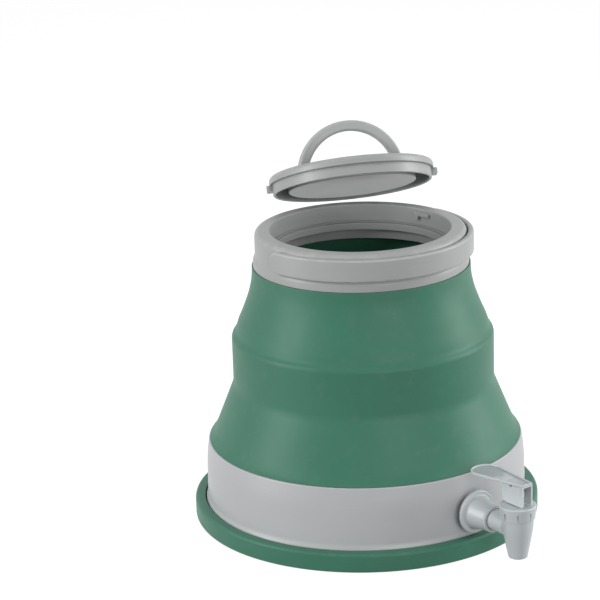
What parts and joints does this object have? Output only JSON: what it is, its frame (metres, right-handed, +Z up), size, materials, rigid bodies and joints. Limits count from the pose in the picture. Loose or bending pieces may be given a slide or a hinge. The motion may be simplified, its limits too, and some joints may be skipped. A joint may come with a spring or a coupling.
{
  "type": "collapsible water carrier",
  "caption": "Folding silicone water carrier on a rigid tub, with a swinging carry handle, a bayonet lid with a folding bail and a lever tap.",
  "frame": {"origin": "centre of the foot's flat underside, on the surface that the carrier stands on", "axes": "+Z up through the mouth; the tap points 5 degrees from -Y towards -X; the carry handle's pivots lie along X; the lifted lid is held behind the mouth towards +X and +Y"},
  "size_m": [0.28, 0.339, 0.299],
  "materials": {
    "green_silicone": "matte",
    "collar_grey": "satin",
    "tub_grey": "satin",
    "tap_grey": "satin",
    "seal_rubber": "matte"
  },
  "bodies": {
    "base": {"base_foot": "green_silicone", "base_tub": "tub_grey", "base_clamp_ring": "collar_grey", "bellows_lower_fold": "green_silicone", "tap_gasket": "seal_rubber", "tap_washer": "seal_rubber", "tap_nut": "tap_grey", "tap_sleeve": "tap_grey", "tap_body": "tap_grey", "tap_bonnet": "tap_grey"},
    "middle": {"bellows_middle_ring": "green_silicone"},
    "collar": {"bellows_upper_fold": "green_silicone", "neck_clamp_ring": "collar_grey", "collar": "collar_grey", "handle_pin_left": "collar_grey", "handle_pin_right": "collar_grey"},
    "handle": {"carry_handle": "collar_grey"},
    "seal": {"mouth_seal": "seal_rubber"},
    "lid_pins": {"lid_bail_pin_left": "collar_grey", "lid_bail_pin_right": "collar_grey"},
    "lid": {"lid": "collar_grey"},
    "bail": {"lid_bail": "collar_grey"},
    "tap_seat": {"tap_seat": "seal_rubber"},
    "tap_stem": {"tap_stem": "tap_grey", "tap_lever_pin": "tap_grey"},
    "tap_lever": {"tap_lever": "tap_grey"}
  },
  "joints": [
    {"name": "body_collapse", "type": "slide", "parent": "base", "child": "middle", "axis": [0, 0, 1], "range_m": [-0.089, 0]},
    {"name": "collar_collapse", "type": "slide", "parent": "middle", "child": "collar", "axis": [0, 0, 1], "range_m": [-0.0406, 0]},
    {"name": "handle_raise", "type": "hinge", "parent": "collar", "child": "handle", "pos_m": [0, 0, 0.2253], "axis": [-1, 0, 0], "range_deg": [0, 90]},
    {"name": "lid_turn", "type": "hinge", "parent": "collar", "child": "seal", "pos_m": [0, 0, 0.2257], "axis": [0, 0, 1], "range_deg": [0, 51.8]},
    {"name": "lid_lift", "type": "hinge", "parent": "seal", "child": "lid_pins", "pos_m": [0.03379, 0.04027, 0.2362], "axis": [-0.766, 0.6428, 0], "range_deg": [-164.04, 0]},
    {"name": "lid_tilt", "type": "hinge", "parent": "lid_pins", "child": "lid", "pos_m": [0.06556, 0.07814, 0.2545], "axis": [0.8286, -0.559, 0.0299], "range_deg": [-140.79, 0]},
    {"name": "bail_fold", "type": "hinge", "parent": "lid", "child": "bail", "pos_m": [0.06556, 0.07814, 0.2545], "axis": [-0.8286, 0.559, -0.0299], "range_deg": [-80, 100]},
    {"name": "tap_seat_lift", "type": "slide", "parent": "base", "child": "tap_seat", "axis": [0, 0, 1], "range_m": [0, 0.00315]},
    {"name": "tap_swivel", "type": "hinge", "parent": "tap_seat", "child": "tap_stem", "pos_m": [-0.0159, -0.18171, 0.05], "axis": [0, 0, 1], "continuous": true},
    {"name": "lever_press", "type": "hinge", "parent": "tap_stem", "child": "tap_lever", "pos_m": [-0.0159, -0.18171, 0.0632], "axis": [-0.9962, 0.0872, 0], "range_deg": [0, 15], "stiffness_Nm_per_rad": 0.5, "springref_deg": -5.73}
  ],
  "couplings": [
    {"joint": "collar_collapse", "follows": "body_collapse", "ratio": 0.456},
    {"joint": "lid_tilt", "follows": "lid_lift", "ratio": 0.85815},
    {"joint": "tap_seat_lift", "follows": "lever_press", "m_per_rad": 0.012}
  ]
}
